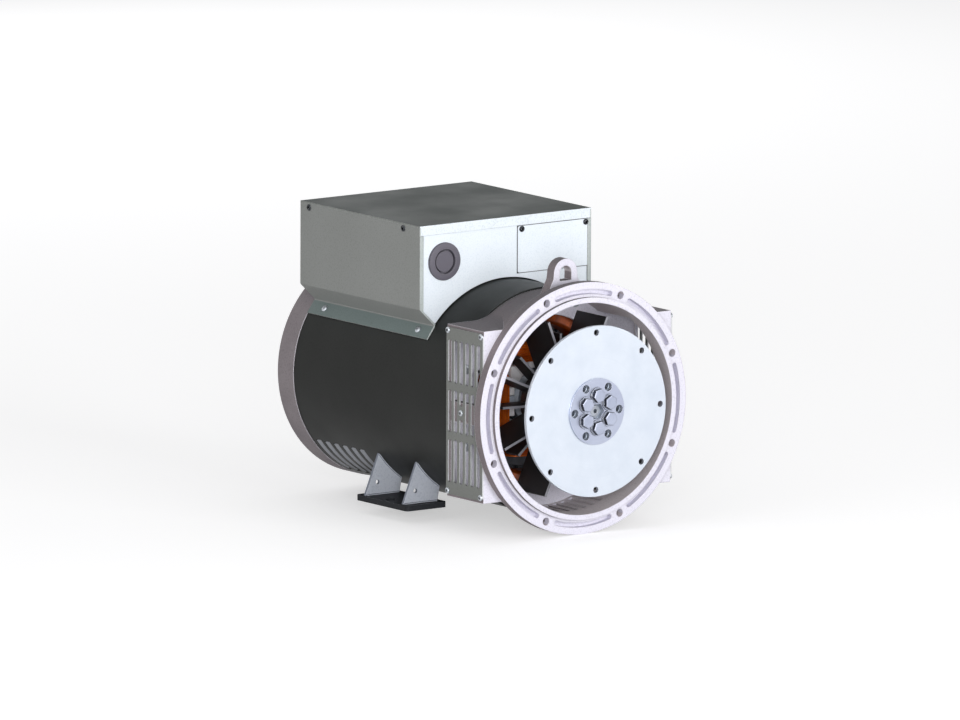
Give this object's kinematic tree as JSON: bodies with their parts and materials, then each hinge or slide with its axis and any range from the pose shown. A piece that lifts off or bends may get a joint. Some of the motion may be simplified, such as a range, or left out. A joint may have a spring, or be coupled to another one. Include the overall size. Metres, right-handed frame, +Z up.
{
  "type": "generator alternator head",
  "caption": "Single-bearing generator alternator head: round frame, cast flanged drive end with fan and drive disc, slotted side grilles, welded feet and a sheet metal terminal box",
  "frame": {"origin": "centre of the flange mounting face, on the shaft axis", "axes": "Y runs along the shaft from the drive end to the rear, so the drive end faces -Y; Z is up; X is to the right when one looks at the drive end"},
  "size_m": [0.356, 0.5571, 0.424],
  "materials": {
    "cast_aluminium": "sand cast, machined flange faces",
    "end_shield_aluminium": "die cast",
    "grille_sheet": "grey painted sheet",
    "zinc_steel": "zinc plated",
    "black_screw": "black oxide",
    "frame_paint": "satin black paint",
    "lamination_steel": "laminated electrical steel",
    "copper_winding": "enamelled copper wire, varnished",
    "bearing_steel": "ground steel",
    "cage_polyamide": "moulded",
    "disc_steel": "bright rolled steel",
    "fan_black": "moulded black",
    "rectifier_aluminium": "milled",
    "diode_metal": "plated",
    "varistor": "epoxy dipped",
    "foot_paint": "blue grey paint",
    "foot_plate_paint": "dark grey paint",
    "box_side_paint": "satin grey paint",
    "box_front_paint": "satin light grey paint",
    "box_lid_paint": "satin dark grey paint",
    "plug_rubber": "moulded rubber",
    "board_moulding": "moulded phenolic",
    "terminal_brass": "plated brass",
    "lead_insulation": "insulated cable",
    "regulator_case": "potted case",
    "trimmer_plastic": "moulded"
  },
  "bodies": {
    "stator": {"access_plate": "box_front_paint", "access_screws": "zinc_steel", "bearing_cap": "end_shield_aluminium", "bearing_cap_screws": "zinc_steel", "bearing_outer_ring": "bearing_steel", "cable_entry_plug": "plug_rubber", "drive_end_bolts": "zinc_steel", "drive_end_housing": "cast_aluminium", "exciter_field_coils": "copper_winding", "exciter_field_core": "lamination_steel", "exciter_posts": "zinc_steel", "frame_tube": "frame_paint", "front_fixing_ring": "frame_paint", "grille_screws": "zinc_steel", "left_foot_gussets": "foot_paint", "left_foot_plate": "foot_plate_paint", "left_grille": "grille_sheet", "lid_screws": "black_screw", "phase_leads": "lead_insulation", "preload_washer": "bearing_steel", "rear_end_bolts": "zinc_steel", "rear_end_shield": "end_shield_aluminium", "rear_fixing_ring": "frame_paint", "regulator_bracket": "zinc_steel", "right_foot_gussets": "foot_paint", "right_foot_plate": "foot_plate_paint", "right_grille": "grille_sheet", "stator_core": "lamination_steel", "stator_windings": "copper_winding", "strip_screws": "zinc_steel", "terminal_board": "board_moulding", "terminal_box_front_panel": "box_front_paint", "terminal_box_left_side": "box_side_paint", "terminal_box_lid": "box_lid_paint", "terminal_box_rear_panel": "box_side_paint", "terminal_box_right_side": "box_side_paint", "terminal_rail": "zinc_steel", "terminal_studs": "terminal_brass", "voltage_regulator": "regulator_case"},
    "rotor": {"shaft": "bearing_steel", "coupling_hub": "bearing_steel", "drive_disc": "disc_steel", "clamp_ring": "disc_steel", "hub_bolts": "zinc_steel", "fan": "fan_black", "fan_key": "bearing_steel", "rotor_core": "lamination_steel", "field_coils": "copper_winding", "exciter_armature_core": "lamination_steel", "exciter_armature_winding": "copper_winding", "rectifier_plate": "rectifier_aluminium", "rectifier_diodes": "diode_metal", "surge_suppressor": "varistor", "bearing_inner_ring": "bearing_steel", "bearing_circlip": "bearing_steel"},
    "ball_cage": {"bearing_balls": "bearing_steel", "bearing_cage": "cage_polyamide"},
    "trimmer": {"voltage_trimmer": "trimmer_plastic"}
  },
  "joints": [
    {"name": "rotor_spin", "type": "hinge", "parent": "stator", "child": "rotor", "pos_m": [0, 0, 0], "axis": [0, -1, 0], "continuous": true},
    {"name": "cage_spin", "type": "hinge", "parent": "stator", "child": "ball_cage", "pos_m": [0, 0.4905, 0], "axis": [0, -1, 0], "continuous": true},
    {"name": "trimmer_turn", "type": "hinge", "parent": "stator", "child": "trimmer", "pos_m": [0.112, 0.206, 0.208], "axis": [0, -1, 0], "range_deg": [-135, 135]}
  ],
  "couplings": [
    {"joint": "cage_spin", "follows": "rotor_spin", "ratio": 0.3814}
  ]
}
